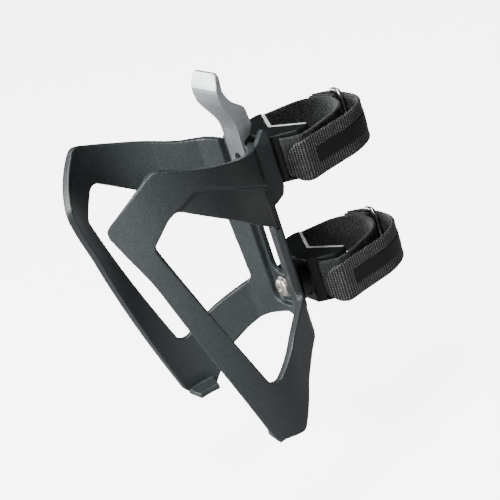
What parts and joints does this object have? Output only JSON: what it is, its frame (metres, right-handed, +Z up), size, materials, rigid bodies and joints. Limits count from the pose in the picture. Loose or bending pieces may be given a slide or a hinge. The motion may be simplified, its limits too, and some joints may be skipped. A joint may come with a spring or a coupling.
{
  "type": "bottle cage",
  "caption": "Open bottle cage with ribbon arms, a slotted spine and a springy retaining tongue, held to a round post by V-shaped adapters and hook-and-loop straps.",
  "frame": {"origin": "on the axis of the post that the straps go round, halfway between the adapters", "axes": "+Z runs up the post and the bottle, -Y points at the open front of the cage, +X is the side that the strap tails run round"},
  "size_m": [0.0818, 0.144, 0.1607],
  "materials": {
    "cage_plastic": "fine-grained moulded surface, dark grey",
    "tongue_metal": "satin, light grey",
    "bolt_steel": "bright",
    "washer_steel": "satin",
    "adapter_plastic": "smooth moulded black",
    "insert_brass": "turned",
    "pad_rubber": "soft, light grey",
    "strap_webbing": "brushed loop pile, black",
    "tail_webbing": "ribbed knit, black",
    "stripe_print": "smooth band, black",
    "hook_tape": "moulded hooks, black",
    "ring_wire": "bright wire"
  },
  "bodies": {
    "cage": {"cage_body": "cage_plastic", "upper_screw": "bolt_steel", "lower_screw": "bolt_steel", "upper_washer": "washer_steel", "lower_washer": "washer_steel"},
    "tongue": {"retaining_tongue": "tongue_metal"},
    "upper_mount": {"upper_adapter": "adapter_plastic", "upper_insert": "insert_brass", "upper_pad": "pad_rubber", "upper_strap": "strap_webbing", "upper_strap_fold": "strap_webbing", "upper_ring": "ring_wire"},
    "lower_mount": {"lower_adapter": "adapter_plastic", "lower_insert": "insert_brass", "lower_pad": "pad_rubber", "lower_strap": "strap_webbing", "lower_strap_fold": "strap_webbing", "lower_ring": "ring_wire"},
    "upper_tail": {"upper_strap_tail": "tail_webbing", "upper_tail_stripe": "stripe_print", "upper_hook_patch": "hook_tape"},
    "lower_tail": {"lower_strap_tail": "tail_webbing", "lower_tail_stripe": "stripe_print", "lower_hook_patch": "hook_tape"}
  },
  "joints": [
    {"name": "tongue_flex", "type": "hinge", "parent": "cage", "child": "tongue", "pos_m": [0, -0.0379, 0.032], "axis": [1, 0, 0], "range_deg": [-3.5, 0], "stiffness_Nm_per_rad": 5},
    {"name": "upper_swivel", "type": "hinge", "parent": "cage", "child": "upper_mount", "pos_m": [0, -0.0334, 0.032], "axis": [0, 1, 0], "range_deg": [-45, 45]},
    {"name": "lower_swivel", "type": "hinge", "parent": "cage", "child": "lower_mount", "pos_m": [0, -0.0334, -0.032], "axis": [0, 1, 0], "range_deg": [-45, 45]},
    {"name": "upper_tail_peel", "type": "hinge", "parent": "upper_mount", "child": "upper_tail", "pos_m": [0.00306, 0.02179, 0.032], "axis": [0, 0, 1], "range_deg": [0, 110]},
    {"name": "lower_tail_peel", "type": "hinge", "parent": "lower_mount", "child": "lower_tail", "pos_m": [0.00306, 0.02179, -0.032], "axis": [0, 0, 1], "range_deg": [0, 110]}
  ]
}
